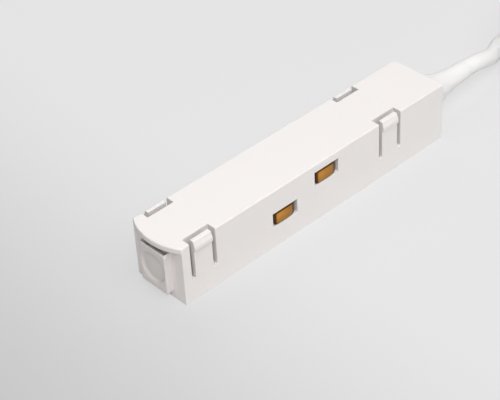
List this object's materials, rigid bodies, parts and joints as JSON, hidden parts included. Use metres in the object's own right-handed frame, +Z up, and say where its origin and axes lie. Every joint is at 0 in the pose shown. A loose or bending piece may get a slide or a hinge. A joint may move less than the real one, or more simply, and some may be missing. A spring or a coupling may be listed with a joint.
{
  "type": "track power feed",
  "caption": "White moulded feed that snaps into a low-voltage lighting track, with sprung brass contacts in side windows and a round lead out of its rear end.",
  "frame": {"origin": "centre of the housing's underside, measured without the lead, on the surface that the feed stands on", "axes": "+X towards the lead, -Y the side with the contacts, +Z up towards the housing's top face"},
  "size_m": [0.2582, 0.0528, 0.0238],
  "materials": {
    "white_plastic": "fine matte white moulding",
    "plug_plastic": "soft matte white",
    "carrier_plastic": "plain grey-white moulding",
    "brass": "stamped strip, slightly worn",
    "steel": "zinc plated",
    "white_pvc": "satin white sheath",
    "red_pvc": "smooth insulation",
    "black_pvc": "smooth insulation",
    "tin": "tinned copper, crimped",
    "tie_nylon": "natural nylon"
  },
  "bodies": {
    "feed": {"housing": "white_plastic", "base_cover": "white_plastic", "end_plug": "plug_plastic", "cable_boot": "white_pvc", "contact_carrier": "carrier_plastic", "cable_clamp": "carrier_plastic", "carrier_screw_front": "steel", "carrier_screw_rear": "steel", "clamp_screw_left": "steel", "clamp_screw_right": "steel", "lead_inner_end": "white_pvc", "red_core": "red_pvc", "black_core": "black_pvc", "supply_lead": "white_pvc", "lead_hank": "white_pvc", "hank_tie_left": "tie_nylon", "hank_tie_right": "tie_nylon", "lead_far_end": "white_pvc", "red_tail": "red_pvc", "black_tail": "black_pvc", "red_ferrule": "tin", "black_ferrule": "tin"},
    "lower_leaf": {"lower_contact": "brass", "black_sleeve": "black_pvc"},
    "upper_leaf": {"upper_contact": "brass", "red_sleeve": "red_pvc"}
  },
  "joints": [
    {"name": "lower_contact_flex", "type": "hinge", "parent": "feed", "child": "lower_leaf", "pos_m": [-0.00598, -0.0058, 0.0097], "axis": [0, 0, -1], "range_deg": [0, 5], "stiffness_Nm_per_rad": 0.2, "springref_deg": -2.86},
    {"name": "upper_contact_flex", "type": "hinge", "parent": "feed", "child": "upper_leaf", "pos_m": [0.01103, -0.0058, 0.0149], "axis": [0, 0, -1], "range_deg": [0, 5], "stiffness_Nm_per_rad": 0.2, "springref_deg": -2.86}
  ]
}
